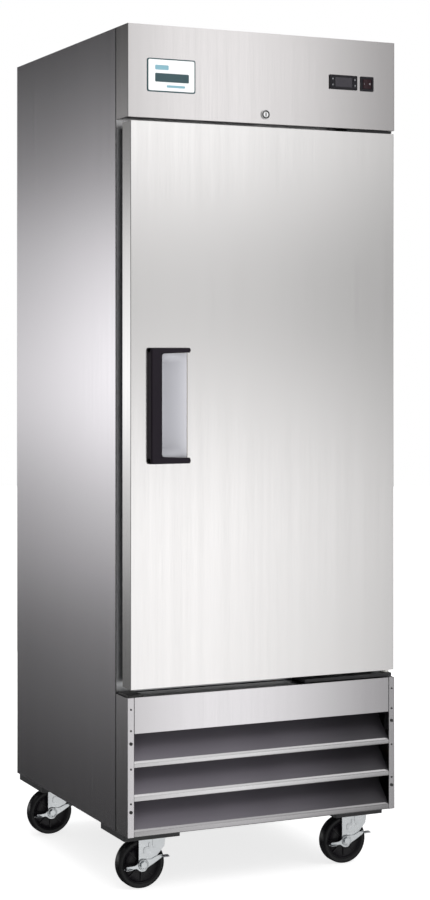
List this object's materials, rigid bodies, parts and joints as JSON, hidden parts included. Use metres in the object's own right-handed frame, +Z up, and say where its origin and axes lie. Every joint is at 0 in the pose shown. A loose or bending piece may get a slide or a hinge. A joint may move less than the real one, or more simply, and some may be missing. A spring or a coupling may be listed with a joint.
{
  "type": "reach-in refrigerator",
  "caption": "Upright commercial refrigerator with a solid hinged door, wire shelves, a louvred machine compartment below and braked swivel casters.",
  "frame": {"origin": "on the floor under the middle of the bounding box, with all casters at rest", "axes": "+Z up, the door faces -Y, +X to the viewer's right, the door's hinges are at +X"},
  "size_m": [0.738, 0.831, 2.1],
  "materials": {
    "outer_steel": "satin",
    "outer_steel_back": "satin",
    "door_steel": "satin",
    "liner_steel": "satin",
    "black_paint": "satin",
    "foam": "matte",
    "badge_plate": "gloss",
    "black_plastic": "matte",
    "smoked_window": "gloss",
    "grey_keys": "matte",
    "red_plastic": "satin",
    "chrome": "polished",
    "zinc": "satin",
    "gasket_rubber": "matte",
    "grip_plastic": "satin",
    "cup_plastic": "satin",
    "nylon": "matte",
    "nylon_black": "matte",
    "blade_steel": "satin",
    "black_fasteners": "satin",
    "shelf_coating": "satin",
    "fin_aluminium": "satin",
    "lamp_cover": "satin",
    "fin_black": "satin",
    "motor_paint": "satin",
    "compressor_paint": "gloss",
    "copper": "satin",
    "white_plastic": "matte",
    "caster_zinc": "satin",
    "wheel_rubber": "matte"
  },
  "bodies": {
    "cabinet": {"left_side_panel": "outer_steel", "right_side_panel": "outer_steel", "back_and_top_panel": "outer_steel_back", "base_frame": "black_paint", "insulation_slabs": "foam", "inner_liner": "liner_steel", "header_cover": "outer_steel", "header_badge": "badge_plate", "controller_case": "black_plastic", "controller_window": "smoked_window", "rocker_switch_case": "black_plastic", "lock_housing": "chrome", "hinge_brackets": "black_paint", "grille_side_stiles": "outer_steel", "grille_top_plate": "outer_steel", "grille_blades": "blade_steel", "grille_screws_and_cap": "black_fasteners", "rear_service_grille": "outer_steel_back", "shelf_supports": "zinc", "wire_shelves": "shelf_coating", "evaporator_housing": "liner_steel", "evaporator_coil": "fin_aluminium", "interior_lamp": "lamp_cover", "condenser_coil": "fin_black", "condenser_fan_shroud": "black_paint", "fan_motors": "motor_paint", "compressor": "compressor_paint", "refrigerant_lines": "copper", "condensate_pan": "white_plastic", "electrical_box": "black_paint", "power_inlet_gland": "nylon_black", "caster_plates": "caster_zinc"},
    "door": {"door_outer_skin": "door_steel", "door_foam": "foam", "door_inner_liner": "liner_steel", "door_gasket": "gasket_rubber", "door_handle": "grip_plastic", "handle_cup": "cup_plastic", "hinge_bushes": "nylon"},
    "lock_barrel": {"lock_barrel": "chrome"},
    "lock_bolt": {"lock_bolt": "zinc"},
    "rocker_paddle": {"rocker_paddle": "red_plastic"},
    "evaporator_fan": {"evaporator_fan": "black_plastic"},
    "condenser_fan": {"condenser_fan": "fin_aluminium"},
    "key_upper_left": {"key_upper_left": "grey_keys"},
    "key_lower_left": {"key_lower_left": "grey_keys"},
    "key_upper_right": {"key_upper_right": "grey_keys"},
    "key_lower_right": {"key_lower_right": "grey_keys"},
    "fork_front_left": {"fork_front_left": "caster_zinc"},
    "wheel_front_left": {"wheel_front_left": "wheel_rubber"},
    "brake_front_left": {"brake_front_left": "caster_zinc"},
    "fork_front_right": {"fork_front_right": "caster_zinc"},
    "wheel_front_right": {"wheel_front_right": "wheel_rubber"},
    "brake_front_right": {"brake_front_right": "caster_zinc"},
    "fork_rear_left": {"fork_rear_left": "caster_zinc"},
    "wheel_rear_left": {"wheel_rear_left": "wheel_rubber"},
    "brake_rear_left": {"brake_rear_left": "caster_zinc"},
    "fork_rear_right": {"fork_rear_right": "caster_zinc"},
    "wheel_rear_right": {"wheel_rear_right": "wheel_rubber"},
    "brake_rear_right": {"brake_rear_right": "caster_zinc"}
  },
  "joints": [
    {"name": "door_hinge", "type": "hinge", "parent": "cabinet", "child": "door", "pos_m": [0.354, -0.3685, 1.186], "axis": [0, 0, 1], "range_deg": [0, 120], "stiffness_Nm_per_rad": 2, "springref_deg": -34.38},
    {"name": "lock_turn", "type": "hinge", "parent": "cabinet", "child": "lock_barrel", "pos_m": [0.002, -0.3905, 1.899], "axis": [0, 1, 0], "range_deg": [0, 90]},
    {"name": "lock_bolt_slide", "type": "slide", "parent": "cabinet", "child": "lock_bolt", "axis": [0, 0, -1], "range_m": [0, 0.018]},
    {"name": "switch_rock", "type": "hinge", "parent": "cabinet", "child": "rocker_paddle", "pos_m": [0.288, -0.3865, 1.9905], "axis": [0, 0, 1], "range_deg": [0, 16]},
    {"name": "evaporator_fan_spin", "type": "hinge", "parent": "cabinet", "child": "evaporator_fan", "pos_m": [0.002, -0.0445, 1.96], "axis": [0, 1, 0], "continuous": true},
    {"name": "condenser_fan_spin", "type": "hinge", "parent": "cabinet", "child": "condenser_fan", "pos_m": [-0.11, -0.1945, 0.305], "axis": [0, 1, 0], "continuous": true},
    {"name": "key_upper_left_press", "type": "slide", "parent": "cabinet", "child": "key_upper_left", "axis": [0, 1, 0], "range_m": [0, 0.0008], "stiffness_N_per_m": 600, "springref_m": -0.0006},
    {"name": "key_lower_left_press", "type": "slide", "parent": "cabinet", "child": "key_lower_left", "axis": [0, 1, 0], "range_m": [0, 0.0008], "stiffness_N_per_m": 600, "springref_m": -0.0006},
    {"name": "key_upper_right_press", "type": "slide", "parent": "cabinet", "child": "key_upper_right", "axis": [0, 1, 0], "range_m": [0, 0.0008], "stiffness_N_per_m": 600, "springref_m": -0.0006},
    {"name": "key_lower_right_press", "type": "slide", "parent": "cabinet", "child": "key_lower_right", "axis": [0, 1, 0], "range_m": [0, 0.0008], "stiffness_N_per_m": 600, "springref_m": -0.0006},
    {"name": "swivel_front_left", "type": "hinge", "parent": "cabinet", "child": "fork_front_left", "pos_m": [-0.264, -0.2885, 0.125], "axis": [0, 0, 1], "continuous": true},
    {"name": "roll_front_left", "type": "hinge", "parent": "fork_front_left", "child": "wheel_front_left", "pos_m": [-0.292, -0.2885, 0.061], "axis": [0, 1, 0], "continuous": true},
    {"name": "brake_front_left_press", "type": "hinge", "parent": "fork_front_left", "child": "brake_front_left", "pos_m": [-0.292, -0.2885, 0.061], "axis": [0, 1, 0], "range_deg": [-18, 0]},
    {"name": "swivel_front_right", "type": "hinge", "parent": "cabinet", "child": "fork_front_right", "pos_m": [0.3, -0.2885, 0.125], "axis": [0, 0, 1], "continuous": true},
    {"name": "roll_front_right", "type": "hinge", "parent": "fork_front_right", "child": "wheel_front_right", "pos_m": [0.272, -0.2885, 0.061], "axis": [0, 1, 0], "continuous": true},
    {"name": "brake_front_right_press", "type": "hinge", "parent": "fork_front_right", "child": "brake_front_right", "pos_m": [0.272, -0.2885, 0.061], "axis": [0, 1, 0], "range_deg": [-18, 0]},
    {"name": "swivel_rear_left", "type": "hinge", "parent": "cabinet", "child": "fork_rear_left", "pos_m": [-0.28, 0.3135, 0.125], "axis": [0, 0, 1], "continuous": true},
    {"name": "roll_rear_left", "type": "hinge", "parent": "fork_rear_left", "child": "wheel_rear_left", "pos_m": [-0.308, 0.3135, 0.061], "axis": [0, 1, 0], "continuous": true},
    {"name": "brake_rear_left_press", "type": "hinge", "parent": "fork_rear_left", "child": "brake_rear_left", "pos_m": [-0.308, 0.3135, 0.061], "axis": [0, 1, 0], "range_deg": [-18, 0]},
    {"name": "swivel_rear_right", "type": "hinge", "parent": "cabinet", "child": "fork_rear_right", "pos_m": [0.284, 0.3135, 0.125], "axis": [0, 0, 1], "continuous": true},
    {"name": "roll_rear_right", "type": "hinge", "parent": "fork_rear_right", "child": "wheel_rear_right", "pos_m": [0.256, 0.3135, 0.061], "axis": [0, 1, 0], "continuous": true},
    {"name": "brake_rear_right_press", "type": "hinge", "parent": "fork_rear_right", "child": "brake_rear_right", "pos_m": [0.256, 0.3135, 0.061], "axis": [0, 1, 0], "range_deg": [-18, 0]}
  ],
  "couplings": [
    {"joint": "lock_bolt_slide", "follows": "lock_turn", "m_per_rad": 0.011459}
  ]
}
